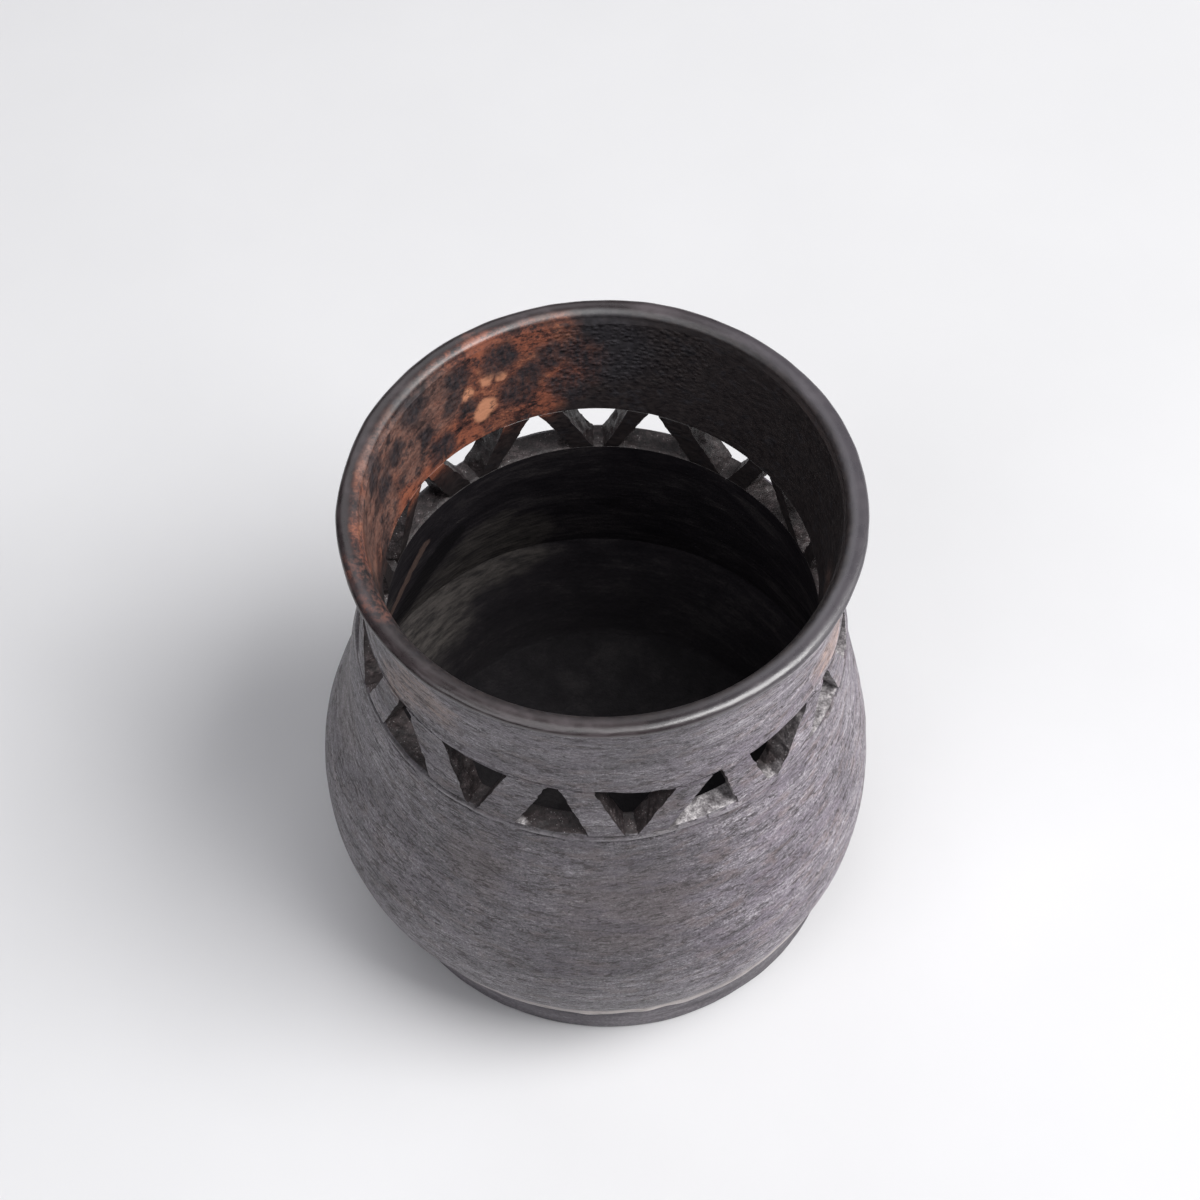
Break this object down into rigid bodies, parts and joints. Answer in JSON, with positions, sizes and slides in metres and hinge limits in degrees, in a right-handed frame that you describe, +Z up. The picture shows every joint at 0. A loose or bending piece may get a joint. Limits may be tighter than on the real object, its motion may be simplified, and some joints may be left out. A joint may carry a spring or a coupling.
{
  "type": "clay pot",
  "caption": "Black clay pot with a rounded belly, a low foot ring, a band of cut-out triangular windows under the neck and a flared rim with a rounded lip.",
  "frame": {"origin": "centre of the foot's underside, on the surface the pot stands on", "axes": "+Z up along the pot's axis of turning, -Y towards the pot's front"},
  "size_m": [0.1134, 0.1134, 0.1223],
  "materials": {
    "burnished_clay": "smoke-blackened clay with a soft graphite burnish and fine throwing lines",
    "cut_clay": "knife-cut smoke-blackened clay, matt on the cut faces",
    "dark_clay": "matt dark clay",
    "lip_clay": "smooth burnished dark clay"
  },
  "bodies": {
    "root": {"foot_ring": "dark_clay", "floor_disc": "dark_clay", "belly_wall": "burnished_clay", "shoulder_wall": "burnished_clay", "lattice_strut_01": "cut_clay", "lattice_strut_02": "cut_clay", "lattice_strut_03": "cut_clay", "lattice_strut_04": "cut_clay", "lattice_strut_05": "cut_clay", "lattice_strut_06": "cut_clay", "lattice_strut_07": "cut_clay", "lattice_strut_08": "cut_clay", "lattice_strut_09": "cut_clay", "lattice_strut_10": "cut_clay", "lattice_strut_11": "cut_clay", "lattice_strut_12": "cut_clay", "lattice_strut_13": "cut_clay", "lattice_strut_14": "cut_clay", "lattice_strut_15": "cut_clay", "lattice_strut_16": "cut_clay", "lattice_strut_17": "cut_clay", "lattice_strut_18": "cut_clay", "lattice_strut_19": "cut_clay", "lattice_strut_20": "cut_clay", "neck_collar": "burnished_clay", "rim_lip": "lip_clay"}
  },
  "joints": []
}
